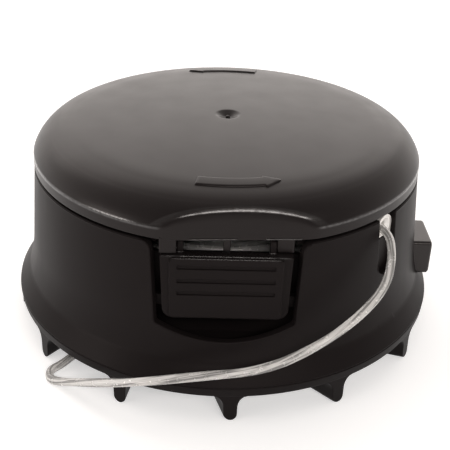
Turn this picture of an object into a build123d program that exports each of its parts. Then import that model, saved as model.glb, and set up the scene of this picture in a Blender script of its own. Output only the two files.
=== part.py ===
from build123d import *

import os
from math import acos, cos, degrees, pi, radians, sin, tan

# Z is up, the front latch faces -Y and the blade tips stand on Z = 0.
# Turns are degrees from -Y toward +X.

# Driving sizes
skirt_r = 52.84
seam_low = 39.8
floor_top = 13.4
notch_half_top = 15.9
bush_r = 7.0

# Cap
cap_r = skirt_r - 5.84
cap_crease_z = seam_low + 3.26
cap_mid_r = cap_r - 3.61
cap_mid_z = cap_crease_z + 4.57
cap_edge_r = cap_r - 9.17
cap_edge_z = cap_crease_z + 6.3
cap_top = cap_edge_z + 1.14
cap_wall = 2.3
seam_high = seam_low + 0.6
rim_low = seam_low - 1.4
rim_r = cap_r - 2.5
rim_wall = 1.5
facet_y = cap_r - 2.7
facet_wall = 2.8
facet_low = seam_low + 0.5
dimple_r = 2.9
dimple_deep = 1.0
nub_r = 0.5
nub_high = 0.35
arrow_r = cap_r - 11.0
arrow_half = 1.7
arrow_barb = 2.3
arrow_high = 0.35
arrow_tail = -11.0
arrow_neck = 12.0
arrow_tip = 18.0

# Housing
wall = 2.2
wall_low_r = skirt_r - 4.34
wall_low_z = floor_top + 7.6
floor_low = floor_top - 2.5
plate_top = floor_low - 0.05
plate_low = plate_top - 2.45
lip_top = plate_low + 0.15
skirt_low = lip_top + 0.09
skirt_wall = 1.94
flare_r = skirt_r - 2.84
flare_z = skirt_low + 4.46
ledge_r = cap_r - 3.6
ledge_low = seam_low - 3.2
spindle_r = bush_r + 2.0
spindle_wall = 2.5
spindle_top = seam_low + 1.7
spool_low = floor_top + 5.8
spool_top = seam_low + 1.0
collar_r = spindle_r + 5.0
collar_top = spool_low - 0.8
boss_in_r = spindle_r + 3.0
boss_out_r = boss_in_r + 2.0
boss_low = spool_top + 1.65
hub_r = bush_r + 3.5
hub_low = plate_low - 3.4

# Latches
latch_turns = (0.0, 180.0)
tab_low = floor_top + 8.2
tab_top = seam_low - 2.7
notch_half_low = notch_half_top - 0.7
notch_low = tab_low - 3.7
notch_corner = tab_low - 0.7
notch_round = 2.4
notch_in_y = facet_y - 4.3
tab_half_top = notch_half_top - 2.1
tab_half_low = notch_half_low - 1.8
tab_round = 2.5
tab_back_y = facet_y - 0.9
tab_face_y = facet_y + 1.1
pad_y = facet_y + 1.9
pad_half = tab_half_low - 1.5
pad_inset = 0.5
pad_round = 0.9
groove_z = (tab_top - 2.4, tab_top - 5.7, tab_top - 8.7)
groove_half = pad_half - 1.6
groove_wide = 0.9
groove_deep = 0.5
hinge_y = facet_y - 1.7
hinge_z = seam_low - 1.1
hinge_pin_r = 0.85
hinge_clear = 0.07
ear_out = tab_half_top + 0.2
ear_in = ear_out - 3.6
ear_low = seam_low - 2.5
rib_half = 0.75
knuckle_in = ear_in - 1.4
knuckle_r = 1.3
knuckle_drop = 5.0
barb_low = tab_low + 1.2
barb_top = barb_low + 2.8
barb_out_y = facet_y - 2.1
barb_in_y = facet_y - 3.7
barb_reach = notch_half_low + 2.2
catch_in = notch_half_top
catch_out = catch_in + 2.7
catch_y = facet_y - 3.4
catch_gap = 0.2
catch_high = 2.7
pocket_in_y = facet_y - 7.1
pocket_wall = 1.1
pocket_half = notch_half_top + 2.1
pocket_top = seam_low - 4.9
leaf_wide = 2 * rib_half - 0.1
leaf_thick = 0.35
leaf_foot = 4.5
leaf_kick = 8.4
leaf_end = 6.9

# Fan
blade_count = 13
blade_phase = 2.8
blade_thick = 2.6
blade_edge = 1.1
blade_taper = 2.5
blade_sweep = 15.0
blade_tip_r = skirt_r - 0.04
blade_round = 0.5
root_half = 3.6
root_deep = 6.0
lip_r = skirt_r - 0.2
lip_low = lip_top - 2.3
lip_in_r = skirt_r - 4.64
root_low = lip_low - 2.65
plate_r = skirt_r - 3.64
fan_hole_r = hub_r + 0.2
fan_collar_r = fan_hole_r + 2.3
fan_collar_low = plate_low - 2.4
blade_in_r = fan_collar_r - 0.4

# Drive bush
bore_r = bush_r - 3.0
bush_low = hub_low - 1.0
bush_top = bush_low + 20.0
bush_fit = 0.02
bush_chamfer = 0.5

# Eyelet and line
eyelet_turn = 49.0
eyelet_half = 3.0
eyelet_low = seam_low - 5.3
eyelet_out_r = cap_r - 0.8
eyelet_in_r = cap_r - 3.6
eyelet_flange = 1.0
eyelet_flange_half = eyelet_half + 1.2
slot_half = eyelet_half + 0.1
slot_low = seam_low - 14.3
slot_floor_r = cap_r - 0.7
line_r = 1.0
line_z = seam_low - 3.1
line_hole_r = line_r + 0.7
line_mouth = 0.6

# Line from the winding, out through the eyelet, round the front and under the skirt:
# distance out from the skirt, turn, and share of the eyelet's height
line_floor = line_r + 0.05
line_route = (
    (-19.84, 28.0, 0.989),
    (-14.84, 48.4, 0.997),
    (-5.19, 48.6, 1.003),
    (-0.94, 44.0, 0.897),
    (1.22, 39.6, 0.764),
    (2.44, 31.0, 0.654),
    (3.30, 20.5, 0.540),
    (3.94, 8.1, 0.427),
    (3.45, -5.6, 0.376),
    (3.71, -18.1, 0.272),
    (3.48, -29.2, 0.155),
    (3.10, -37.5, 0.048),
    (3.70, -41.8, 0.000),
    (4.26, -44.1, 0.000),
    (2.38, -46.4, 0.000),
    (-0.69, -46.4, 0.000),
    (-5.20, -47.8, 0.000),
    (-11.84, -49.4, 0.000),
)
line_bend = 0.45

# Spool
spool_r = cap_r - 10.4
flange = 1.7
drum_r = 16.0
drum_wall = 1.6
spool_hub_wall = 2.0
spool_clear = 0.08
winding_r = spool_r - 5.1
winding_valley = winding_r - 0.8
winding_turns = 9
lug_count = 6
lug_in_r = spool_r - 3.7
lug_out_r = spool_r - 0.2
lug_half = 2.2
lug_low = spool_low - 2.8

# Side lug
side_y0 = -10.0
side_y1 = 2.5
side_x = skirt_r - 0.54
side_low = floor_top - 1.1
side_high = side_low + 9.1
side_wall = 1.6
side_round = 0.8

# Feed lever
pivot_ring = cap_r - 6.0
pivot_turn = 62.0
end_ring = cap_r - 4.0
end_turn = 86.0
lever_low = floor_top + 0.8
lever_top = spool_low - 1.2
lever_half = 2.0
lever_end_r = 3.0
pawl_half = 1.5
pawl_ring = spool_r - 1.6
pawl_gap = 0.5
weight_r = 1.9
weight_low = lever_low + 0.5
pin_r = 1.2
pin_clear = 0.07
pin_low = floor_top - 1.8
clip_r = 2.6
clip_low = lever_top + 0.15
clip_top = clip_low + 0.5
pin_top = clip_top + 0.4
bow_r = 4.1
bow_x = side_x - 1.95
bow_y = (side_y0 + side_y1) / 2
bow_thick = 0.4

# Fan screws
screw_ring = 24.0
screw_gaps = (1, 5, 9)
screw_r = 1.5
screw_fit = 0.02
screw_head_r = 2 * screw_r
screw_head = 1.7
screw_seat = 0.65
screw_top = floor_top + 1.2
screw_boss_r = screw_r + 1.9
screw_boss_top = screw_top + 1.4


def at(radius, turn, z=0.0):
    """Point at a radius, a turn and a height."""
    a = radians(turn)
    return Vector(radius * sin(a), -radius * cos(a), z)


def face_plane(turn, out=0.0):
    """Upright plane: x runs round the drum, y runs up, z runs outward."""
    a = radians(turn)
    return Plane(origin=at(out, turn), x_dir=(cos(a), sin(a), 0), z_dir=(sin(a), -cos(a), 0))


def face_block(turn, x0, x1, z0, z1, out0, out1, mode=Mode.ADD):
    """Box in an upright plane's directions, in the builder that is open."""
    with Locations(face_plane(turn)):
        with Locations(((x0 + x1) / 2, (z0 + z1) / 2, (out0 + out1) / 2)):
            Box(abs(x1 - x0), abs(z1 - z0), abs(out1 - out0), mode=mode)


def post(centre, radius, z0, z1, mode=Mode.ADD):
    """Upright cylinder at a point, between two heights."""
    with Locations((centre.X, centre.Y, (z0 + z1) / 2)):
        Cylinder(radius, z1 - z0, mode=mode)


def turned(*points):
    """Solid of revolution from a closed profile of radius and height."""
    with BuildSketch(Plane.XZ) as profile:
        with BuildLine():
            Polyline(*points, close=True)
        make_face()
    revolve(profile.sketch, axis=Axis.Z)


# Screws stand midway between two blades, which pass the axis at a distance
blade_miss = blade_tip_r * sin(radians(blade_sweep))
blade_lag = degrees(acos(blade_miss / blade_tip_r) - acos(blade_miss / screw_ring))
screw_turns = [blade_phase - blade_lag + 360 / blade_count * (gap + 0.5) for gap in screw_gaps]

pivot = at(pivot_ring, pivot_turn)
lever_end = at(end_ring, end_turn)
pawl_tip = at(pawl_ring, end_turn)
wall_in_low = wall_low_r - wall - 0.1
lug_phase = end_turn + degrees((lug_half + pawl_half + pawl_gap) / pawl_ring)

# Outside of the lug on the drum's side
with BuildPart() as side_lug:
    face_block(90, side_y0, side_y1, side_low, side_high, wall_low_r - 2.0, side_x)
    fillet(side_lug.faces().sort_by(Axis.X)[-1].edges(), radius=side_round)

# Housing: drum wall, flared skirt, floor, hub and spindle in one moulding
with BuildPart() as housing:
    with BuildSketch(Plane.XZ):
        with BuildLine():
            drum_line = Polyline((cap_r - wall, seam_low), (cap_r, seam_low), (wall_low_r, wall_low_z))
            flare = TangentArc(drum_line @ 1, (flare_r, flare_z), tangent=drum_line % 1)
            Polyline(
                flare @ 1,
                (skirt_r, skirt_low),
                (skirt_r - skirt_wall, skirt_low),
                (skirt_r - skirt_wall - 1.5, floor_low),
                (hub_r, floor_low),
                (hub_r, hub_low),
                (bush_r, hub_low),
                (bush_r, bush_top),
                (0, bush_top),
                (0, bush_top + spindle_wall),
                (spindle_r - spindle_wall, bush_top + spindle_wall),
                (spindle_r - spindle_wall, spindle_top),
                (spindle_r, spindle_top),
                (spindle_r, collar_top),
                (collar_r, collar_top),
                (collar_r, floor_top),
                (wall_in_low, floor_top),
                (wall_in_low, wall_low_z),
                (cap_r - wall, ledge_low - 1.5),
                (ledge_r, ledge_low),
                (ledge_r, rim_low - 0.02),
                (cap_r - wall, rim_low - 0.02),
                (cap_r - wall, seam_low),
            )
        make_face()
    revolve(axis=Axis.Z)

    # Hollow lug on the side, where the feed lever swings out
    add(side_lug.part)
    face_block(90, side_y0 + side_wall, side_y1 - side_wall, lever_low - 0.2, side_high - side_wall,
               end_ring, side_x - side_wall, mode=Mode.SUBTRACT)

    # Latch notches, open to the top, with a pocket and catches behind them
    for turn in latch_turns:
        with BuildSketch(face_plane(turn, notch_in_y)):
            with BuildLine():
                round_x = notch_half_top + notch_round
                round_z = seam_low - notch_round
                near = notch_round * cos(radians(45))
                for side in (-1, 1):
                    Line((side * notch_half_low, notch_corner), (side * notch_half_top, round_z))
                    ThreePointArc((side * notch_half_top, round_z),
                                  (side * (round_x - near), round_z + near), (side * round_x, seam_low))
                    Line((side * round_x, seam_low), (side * round_x, seam_low + 1))
                Line((-round_x, seam_low + 1), (round_x, seam_low + 1))
                ThreePointArc((notch_half_low, notch_corner), (0, notch_low),
                              (-notch_half_low, notch_corner))
            make_face()
        extrude(amount=20, mode=Mode.SUBTRACT)
        pocket_out = pocket_half + pocket_wall
        face_block(turn, -pocket_out, pocket_out, floor_top - 0.2, pocket_top, pocket_in_y,
                   pocket_in_y + pocket_wall)
        for side in (-1, 1):
            face_block(turn, side * pocket_half, side * pocket_out, floor_top - 0.2, pocket_top, pocket_in_y,
                       catch_y + 1.6)
            face_block(turn, side * catch_in, side * catch_out, barb_top + catch_gap,
                       barb_top + catch_gap + catch_high, catch_y, facet_y - 0.2)

    # Eyelet slot: a recess below, right through the wall above
    with BuildSketch(face_plane(eyelet_turn, slot_floor_r)):
        with BuildLine():
            Polyline((-slot_half, slot_low + slot_half), (-slot_half, seam_low + 1),
                     (slot_half, seam_low + 1), (slot_half, slot_low + slot_half))
            ThreePointArc((slot_half, slot_low + slot_half), (0, slot_low),
                          (-slot_half, slot_low + slot_half))
        make_face()
    extrude(amount=6, mode=Mode.SUBTRACT)
    face_block(eyelet_turn, -slot_half, slot_half, eyelet_low, seam_low + 1, notch_in_y, slot_floor_r + 4,
               mode=Mode.SUBTRACT)
    flange_half = eyelet_flange_half + 0.4
    face_block(eyelet_turn, -flange_half, flange_half, eyelet_low - 1.4, seam_low + 1, notch_in_y,
               eyelet_in_r + eyelet_flange + 0.1, mode=Mode.SUBTRACT)

    # Lever pivot and screw bosses on the floor
    post(pivot, lever_end_r, floor_top - 0.5, lever_low - 0.1)
    post(pivot, pin_r, pin_low, lever_low, mode=Mode.SUBTRACT)
    for turn in screw_turns:
        post(at(screw_ring, turn), screw_boss_r, floor_top - 0.5, screw_boss_top)
        post(at(screw_ring, turn), screw_r + screw_fit, floor_low - 1, screw_top + 0.2, mode=Mode.SUBTRACT)
housing.part.label = "housing"

# Fan: plate, lip and swept blades in one moulding
with BuildPart() as blade_limit:
    with BuildSketch(Plane.XZ):
        with BuildLine():
            Polyline((blade_tip_r - blade_round, 0), (blade_in_r + 6, 0), (blade_in_r, 4),
                     (blade_in_r, plate_low + 0.2), (lip_r - 0.04, plate_low + 0.2), (lip_r, lip_low),
                     (blade_tip_r, blade_round))
            ThreePointArc((blade_tip_r, blade_round),
                          (blade_tip_r - blade_round * 0.293, blade_round * 0.293),
                          (blade_tip_r - blade_round, 0))
        make_face()
    revolve(axis=Axis.Z)

inward = radians(90 + blade_phase + blade_sweep)
blade_start = at(blade_tip_r + 3, blade_phase)
with BuildPart() as blade:
    with BuildSketch(Plane(origin=blade_start, x_dir=(cos(inward), sin(inward), 0), z_dir=(0, 0, 1))):
        with Locations((blade_tip_r / 2, 0)):
            Rectangle(blade_tip_r, blade_thick)
    extrude(amount=plate_low + 0.2, taper=-blade_taper)
    fillet(blade.edges().group_by(Axis.Z)[0].sort_by(SortBy.LENGTH)[-2:], radius=blade_edge)
    with BuildSketch(Plane(origin=blade_start, x_dir=(-sin(inward), cos(inward), 0),
                           z_dir=(cos(inward), sin(inward), 0))):
        with BuildLine():
            for side in (-1, 1):
                ThreePointArc((side * blade_thick / 2, root_low),
                              (side * (blade_thick / 2 + 0.75), lip_low - 0.75),
                              (side * root_half, lip_low + 0.1))
                Line((side * root_half, lip_low + 0.1), (side * root_half, lip_top - 0.5))
            Line((-blade_thick / 2, root_low), (blade_thick / 2, root_low))
            Line((-root_half, lip_top - 0.5), (root_half, lip_top - 0.5))
        make_face()
    extrude(amount=root_deep)
    add(blade_limit.part, mode=Mode.INTERSECT)

with BuildPart() as fan:
    turned(
        (fan_hole_r, fan_collar_low),
        (fan_collar_r, fan_collar_low),
        (fan_collar_r, plate_low),
        (lip_in_r, plate_low),
        (lip_in_r, lip_low),
        (lip_r, lip_low),
        (skirt_r, lip_top),
        (plate_r, lip_top),
        (plate_r, plate_top),
        (fan_hole_r, plate_top),
    )
    for k in range(blade_count):
        add(blade.part.rotate(Axis.Z, 360 / blade_count * k))
    for turn in screw_turns:
        post(at(screw_ring, turn), screw_head_r + 0.6, plate_low - 2.5, plate_low)
        post(at(screw_ring, turn), screw_head_r + 0.2, 0, plate_low - screw_seat + 0.05, mode=Mode.SUBTRACT)
        post(at(screw_ring, turn), screw_r + 0.2, 0, plate_top, mode=Mode.SUBTRACT)
fan.part.label = "fan"

# Fan screws
fan_screws = []
for turn in screw_turns:
    with BuildPart() as fan_screw:
        post(at(screw_ring, turn), screw_r, plate_low - screw_seat - 0.05, screw_top)
        post(at(screw_ring, turn), screw_head_r, plate_low - screw_seat - screw_head, plate_low - screw_seat)
        face_block(turn, -2.2, 2.2, plate_low - 3, plate_low - screw_seat - screw_head + 0.8,
                   screw_ring - 0.4, screw_ring + 0.4, mode=Mode.SUBTRACT)
        face_block(turn, -0.4, 0.4, plate_low - 3, plate_low - screw_seat - screw_head + 0.8,
                   screw_ring - 2.2, screw_ring + 2.2, mode=Mode.SUBTRACT)
    fan_screw.part.label = "fan_screw_%d" % (len(fan_screws) + 1)
    fan_screws.append(fan_screw.part)

# Drive bush for the motor shaft
with BuildPart() as shaft_bushing:
    turned((bore_r, bush_low), (bush_r - bush_fit, bush_low), (bush_r - bush_fit, bush_top - bush_fit),
           (bore_r, bush_top - bush_fit))
    chamfer(shaft_bushing.edges().filter_by(GeomType.CIRCLE).group_by(Axis.Z)[0], length=bush_chamfer)
shaft_bushing.part.label = "shaft_bushing"

# Cap: domed lid with a locating rim, a flat facet over each latch and ears for its hinge
def cap_outside(lift):
    """Solid inside the lid's outer faces, raised by a lift."""
    with BuildSketch(Plane.XZ) as profile:
        with BuildLine():
            Polyline((0, cap_top + lift), (0, rim_low), (rim_r, rim_low), (rim_r, seam_high),
                     (cap_r, seam_high), (cap_r, cap_crease_z + lift))
            ThreePointArc((cap_r, cap_crease_z + lift), (cap_mid_r, cap_mid_z + lift),
                          (cap_edge_r, cap_edge_z + lift))
            ThreePointArc((cap_edge_r, cap_edge_z + lift),
                          (cap_edge_r / 2, cap_top - (cap_top - cap_edge_z) / 4 + lift),
                          (0, cap_top + lift))
        make_face()
    revolve(profile.sketch, axis=Axis.Z)


with BuildPart() as cap_room:
    room_r = rim_r - rim_wall
    with BuildSketch(Plane.XZ):
        with BuildLine():
            Polyline((0, cap_top - cap_wall), (0, rim_low - 1), (room_r, rim_low - 1), (room_r, cap_crease_z))
            ThreePointArc((room_r, cap_crease_z),
                          (cap_edge_r + (room_r - cap_edge_r) * 0.71, cap_edge_z - cap_wall - 1.2),
                          (cap_edge_r, cap_edge_z - cap_wall))
            Line((cap_edge_r, cap_edge_z - cap_wall), (0, cap_top - cap_wall))
        make_face()
    revolve(axis=Axis.Z)
    for turn in latch_turns:
        face_block(turn, -cap_r, cap_r, facet_low, cap_top, facet_y - facet_wall, cap_r, mode=Mode.SUBTRACT)

with BuildPart() as arrow_top:
    cap_outside(arrow_high)

with BuildPart() as arrow:
    with BuildSketch(Plane.XY.offset(cap_edge_z - 1.0)):
        with BuildLine():
            low_r = arrow_r - arrow_half
            high_r = arrow_r + arrow_half
            mid = (arrow_tail + arrow_neck) / 2
            ThreePointArc(at(low_r, arrow_tail), at(low_r, mid), at(low_r, arrow_neck))
            Polyline(at(low_r, arrow_neck), at(arrow_r - arrow_barb, arrow_neck), at(arrow_r, arrow_tip),
                     at(arrow_r + arrow_barb, arrow_neck), at(high_r, arrow_neck))
            ThreePointArc(at(high_r, arrow_neck), at(high_r, mid), at(high_r, arrow_tail))
            Line(at(high_r, arrow_tail), at(low_r, arrow_tail))
        make_face()
    extrude(amount=4)
    add(arrow_top.part, mode=Mode.INTERSECT)

with BuildPart() as cap:
    cap_outside(0)
    for turn in latch_turns:
        face_block(turn, -cap_r, cap_r, rim_low - 1, cap_top, facet_y, cap_r + 2, mode=Mode.SUBTRACT)
    add(cap_room.part, mode=Mode.SUBTRACT)
    for turn in latch_turns:
        add(arrow.part.rotate(Axis.Z, turn))
        gap_half = ear_out + 0.8
        face_block(turn, -gap_half, gap_half, rim_low - 1, facet_low, facet_y - 6, cap_r, mode=Mode.SUBTRACT)
        for side in (-1, 1):
            face_block(turn, side * ear_in, side * ear_out, ear_low, facet_low + 0.5,
                       facet_y - facet_wall, facet_y)
        with Locations(face_plane(turn)):
            with Locations((0, hinge_z, hinge_y)):
                Cylinder(hinge_pin_r + hinge_clear, 2 * ear_out - 0.8, rotation=(0, 90, 0),
                         mode=Mode.SUBTRACT)
        face_block(turn, -rib_half, rib_half, ear_low + 0.3, facet_low + 0.5, hinge_y + 1.0, facet_y - 0.3)
    face_block(eyelet_turn, -eyelet_flange_half - 1, eyelet_flange_half + 1, rim_low - 1, seam_high,
               facet_y - 3, rim_r + 0.5, mode=Mode.SUBTRACT)
    turned((boss_in_r, boss_low), (boss_out_r, boss_low), (boss_out_r, cap_top - cap_wall + 0.3),
           (boss_in_r, cap_top - cap_wall + 0.3))
    with BuildSketch(Plane.XZ):
        with BuildLine():
            Polyline((0, cap_top - dimple_deep + nub_high), (nub_r, cap_top - dimple_deep + nub_high),
                     (nub_r, cap_top - dimple_deep), (dimple_r, cap_top), (dimple_r, cap_top + 1),
                     (0, cap_top + 1), close=True)
        make_face()
    revolve(axis=Axis.Z, mode=Mode.SUBTRACT)
cap.part.label = "cap"

# Latch tab: grooved press pad, two hinge knuckles with pins, and a barb at each side
with BuildPart() as latch_tab:
    with BuildSketch(face_plane(0, tab_back_y)):
        with BuildLine():
            Polyline((-tab_half_low, tab_low), (tab_half_low, tab_low), (tab_half_top, tab_top),
                     (-tab_half_top, tab_top), close=True)
        tab_outline = make_face()
        fillet(tab_outline.vertices().group_by(Axis.Y)[0], radius=tab_round)
    extrude(amount=tab_face_y - tab_back_y)
    with BuildSketch(face_plane(0, tab_face_y)):
        with Locations((0, (tab_low + tab_top) / 2 + pad_inset / 2)):
            RectangleRounded(2 * pad_half, tab_top - tab_low - pad_inset - 0.4, pad_round)
    extrude(amount=pad_y - tab_face_y)
    for z in groove_z:
        face_block(0, -groove_half, groove_half, z - groove_wide / 2, z + groove_wide / 2,
                   pad_y - groove_deep, pad_y + 1, mode=Mode.SUBTRACT)
    for side in (-1, 1):
        knuckle_out = ear_in - 0.1
        face_block(0, side * knuckle_in, side * knuckle_out, hinge_z - knuckle_drop, hinge_z,
                   hinge_y - knuckle_r, hinge_y + knuckle_r)
        with Locations(face_plane(0)):
            with Locations((side * (knuckle_in + knuckle_out) / 2, hinge_z, hinge_y)):
                Cylinder(knuckle_r, knuckle_out - knuckle_in, rotation=(0, 90, 0))
            with Locations((side * (knuckle_out + ear_out - 0.5) / 2, hinge_z, hinge_y)):
                Cylinder(hinge_pin_r, ear_out - 0.5 - knuckle_out, rotation=(0, 90, 0))
        face_block(0, side * (tab_half_low - 2), side * (tab_half_low - 0.2), barb_low, barb_top,
                   barb_in_y, tab_back_y + 0.2)
        face_block(0, side * (tab_half_low - 0.3), side * barb_reach, barb_low, barb_top, barb_in_y,
                   barb_out_y)
latch_tab.part.label = "latch_tab"

# Leaf spring that hangs from the cap behind the tab
with BuildPart() as latch_spring:
    leaf_y = facet_y - facet_wall - 0.05
    leaf_path = ((leaf_y, facet_low + leaf_foot), (leaf_y, facet_low),
                 (tab_back_y - 0.2, tab_low + leaf_kick), (tab_back_y - 0.8, tab_low + leaf_end))
    with BuildSketch(Plane(origin=(-leaf_wide / 2, 0, 0), x_dir=(0, -1, 0), z_dir=(1, 0, 0))):
        with BuildLine():
            back_path = [(y - leaf_thick, z) for y, z in reversed(leaf_path)]
            Polyline(*[(y, -z) for y, z in list(leaf_path) + back_path], close=True)
        make_face()
    extrude(amount=leaf_wide)
latch_spring.part.label = "latch_spring"

# Eyelet: arched metal guide with an inner flange
with BuildPart() as eyelet:
    with BuildSketch(face_plane(eyelet_turn, eyelet_in_r)):
        with BuildLine():
            Polyline((-eyelet_half, line_z), (-eyelet_half, eyelet_low + 0.05),
                     (eyelet_half, eyelet_low + 0.05), (eyelet_half, line_z))
            ThreePointArc((eyelet_half, line_z), (0, line_z + eyelet_half), (-eyelet_half, line_z))
        make_face()
    extrude(amount=eyelet_out_r - eyelet_in_r)
    face_block(eyelet_turn, -eyelet_flange_half, eyelet_flange_half, eyelet_low - 1, line_z + eyelet_half,
               eyelet_in_r, eyelet_in_r + eyelet_flange)
    with Locations(face_plane(eyelet_turn)):
        with Locations((0, line_z, (eyelet_in_r + eyelet_out_r) / 2)):
            Cylinder(line_hole_r, 4 * eyelet_half, mode=Mode.SUBTRACT)
    fillet(eyelet.edges().filter_by(GeomType.CIRCLE).filter_by(lambda e: abs(e.radius - line_hole_r) < 0.01),
           radius=line_mouth)
eyelet.part.label = "eyelet"

# Spool with stop lugs under its lower flange
with BuildPart() as spool:
    hub_in = spindle_r + spool_clear
    turned(
        (hub_in, spool_low),
        (spool_r, spool_low),
        (spool_r, spool_low + flange),
        (drum_r, spool_low + flange),
        (drum_r, spool_top - flange),
        (spool_r, spool_top - flange),
        (spool_r, spool_top),
        (drum_r - drum_wall, spool_top),
        (drum_r - drum_wall, spool_low + 2 * flange),
        (hub_in + spool_hub_wall, spool_low + 2 * flange),
        (hub_in + spool_hub_wall, spool_top),
        (hub_in, spool_top),
    )
    for k in range(lug_count):
        face_block(lug_phase + 360 / lug_count * k, -lug_half, lug_half, lug_low, spool_low + 0.2,
                   lug_in_r, lug_out_r)
spool.part.label = "spool"

# Line on the spool, one solid with a ridge for each turn
with BuildPart() as line_winding:
    low = spool_low + flange + 0.05
    step = (spool_top - spool_low - 2 * flange - 0.1) / winding_turns
    with BuildSketch(Plane.XZ):
        with BuildLine():
            Polyline((winding_valley, low), (drum_r + 0.02, low),
                     (drum_r + 0.02, low + step * winding_turns),
                     (winding_valley, low + step * winding_turns))
            for k in range(winding_turns):
                ThreePointArc((winding_valley, low + step * k), (winding_r, low + step * (k + 0.5)),
                              (winding_valley, low + step * (k + 1)))
        make_face()
    revolve(axis=Axis.Z)
line_winding.part.label = "line_winding"

# Free line
line_points = []
for out, turn, share in line_route:
    line_points.append(at(skirt_r + out, turn, line_floor + (line_z - line_floor) * share))
line_radii = []
for before, corner, after in zip(line_points, line_points[1:], line_points[2:]):
    half_turn = radians((corner - before).get_angle(after - corner) / 2)
    run = min((corner - before).length, (after - corner).length)
    line_radii.append(line_bend * run / tan(half_turn))
with BuildPart() as trimmer_line:
    with BuildLine() as route:
        FilletPolyline(*line_points, radius=line_radii)
    with BuildSketch(Plane(origin=route.line @ 0, z_dir=route.line % 0)):
        Circle(line_r)
    sweep()
trimmer_line.part.label = "trimmer_line"

# Washers below and above the spool
with BuildPart() as thrust_washer:
    turned((spindle_r + 0.1, collar_top + 0.03), (collar_r - 0.4, collar_top + 0.03),
           (collar_r - 0.4, spool_low - 0.03), (spindle_r + 0.1, spool_low - 0.03))
thrust_washer.part.label = "thrust_washer"

with BuildPart() as spring_washer:
    turned((spindle_r + 0.4, spool_top + 0.03), (boss_out_r - 1.0, boss_low - 0.6),
           (boss_out_r - 1.0, boss_low - 0.03), (spindle_r + 0.4, spool_top + 0.6))
spring_washer.part.label = "spring_washer"

# Feed lever: pivot, arm, weighted end and pawl
arm_turn = (lever_end - pivot).get_signed_angle(Vector(1, 0, 0), Vector(0, 0, -1))
pawl_turn = (pawl_tip - lever_end).get_signed_angle(Vector(1, 0, 0), Vector(0, 0, -1))
arm_long = (lever_end - pivot).length
pawl_long = end_ring - pawl_ring
with BuildPart() as feed_lever:
    with BuildSketch(Plane.XY.offset(lever_low)):
        with Locations((pivot.X, pivot.Y)):
            Circle(lever_end_r)
        with Locations((lever_end.X, lever_end.Y)):
            Circle(lever_end_r)
        with Locations(Location((pivot.X, pivot.Y, 0), (0, 0, arm_turn))):
            with Locations((arm_long / 2, 0)):
                Rectangle(arm_long, 2 * lever_half)
        with Locations(Location((lever_end.X, lever_end.Y, 0), (0, 0, pawl_turn))):
            with Locations((pawl_long / 2, 0)):
                Rectangle(pawl_long, 2 * pawl_half)
        with Locations((pivot.X, pivot.Y)):
            Circle(pin_r + pin_clear, mode=Mode.SUBTRACT)
    extrude(amount=lever_top - lever_low)
    post(lever_end, weight_r + 0.02, weight_low, lever_top + 1, mode=Mode.SUBTRACT)
feed_lever.part.label = "feed_lever"

with BuildPart() as lever_weight:
    post(lever_end, weight_r, weight_low + 0.02, lever_top - 0.1)
lever_weight.part.label = "lever_weight"

with BuildPart() as lever_pivot_pin:
    post(pivot, pin_r - 0.01, pin_low + 0.02, pin_top)
lever_pivot_pin.part.label = "lever_pivot_pin"

with BuildPart() as lever_clip:
    post(pivot, clip_r, clip_low, clip_top)
    post(pivot, pin_r, clip_low - 1, clip_top + 1, mode=Mode.SUBTRACT)
    face_block(pivot_turn, -0.8, 0.8, clip_low - 1, clip_top + 1, pivot_ring, pivot_ring + 6,
               mode=Mode.SUBTRACT)
lever_clip.part.label = "lever_clip"

# Bowed leaf between the side lug and the lever's end
with BuildPart() as lever_spring:
    with BuildSketch(Plane.XY.offset(lever_low + 0.6)):
        with Locations((bow_x, bow_y)):
            Circle(bow_r)
            Circle(bow_r - bow_thick, mode=Mode.SUBTRACT)
        with Locations((bow_x + bow_r, bow_y)):
            Rectangle(2 * bow_r, 4 * bow_r, mode=Mode.SUBTRACT)
    extrude(amount=lever_top - lever_low - 1.2)
lever_spring.part.label = "lever_spring"

# The rear latch repeats the front one
latch_tab_front = latch_tab.part
latch_tab_front.label = "latch_tab_front"
latch_spring_front = latch_spring.part
latch_spring_front.label = "latch_spring_front"
with BuildPart() as latch_tab_rear:
    add(latch_tab_front.rotate(Axis.Z, 180))
latch_tab_rear.part.label = "latch_tab_rear"
with BuildPart() as latch_spring_rear:
    add(latch_spring_front.rotate(Axis.Z, 180))
latch_spring_rear.part.label = "latch_spring_rear"

# One file for each piece
os.makedirs("parts", exist_ok=True)
export_step(housing.part, "parts/housing.step")
export_step(fan.part, "parts/fan.step")
for screw in fan_screws:
    export_step(screw, "parts/%s.step" % screw.label)
export_step(shaft_bushing.part, "parts/shaft_bushing.step")
export_step(cap.part, "parts/cap.step")
export_step(latch_tab_front, "parts/latch_tab_front.step")
export_step(latch_tab_rear.part, "parts/latch_tab_rear.step")
export_step(latch_spring_front, "parts/latch_spring_front.step")
export_step(latch_spring_rear.part, "parts/latch_spring_rear.step")
export_step(eyelet.part, "parts/eyelet.step")
export_step(spool.part, "parts/spool.step")
export_step(line_winding.part, "parts/line_winding.step")
export_step(trimmer_line.part, "parts/trimmer_line.step")
export_step(thrust_washer.part, "parts/thrust_washer.step")
export_step(spring_washer.part, "parts/spring_washer.step")
export_step(feed_lever.part, "parts/feed_lever.step")
export_step(lever_weight.part, "parts/lever_weight.step")
export_step(lever_pivot_pin.part, "parts/lever_pivot_pin.step")
export_step(lever_clip.part, "parts/lever_clip.step")
export_step(lever_spring.part, "parts/lever_spring.step")
print("line radii", [round(r, 1) for r in line_radii])
line_long = sum(edge.length for edge in route.edges())
print("line length", round(line_long, 1), "volume", round(trimmer_line.part.volume / (pi * line_r**2), 1))
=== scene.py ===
from math import asin, atan2, cos, degrees, hypot, pi, radians, sin, sqrt

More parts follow.
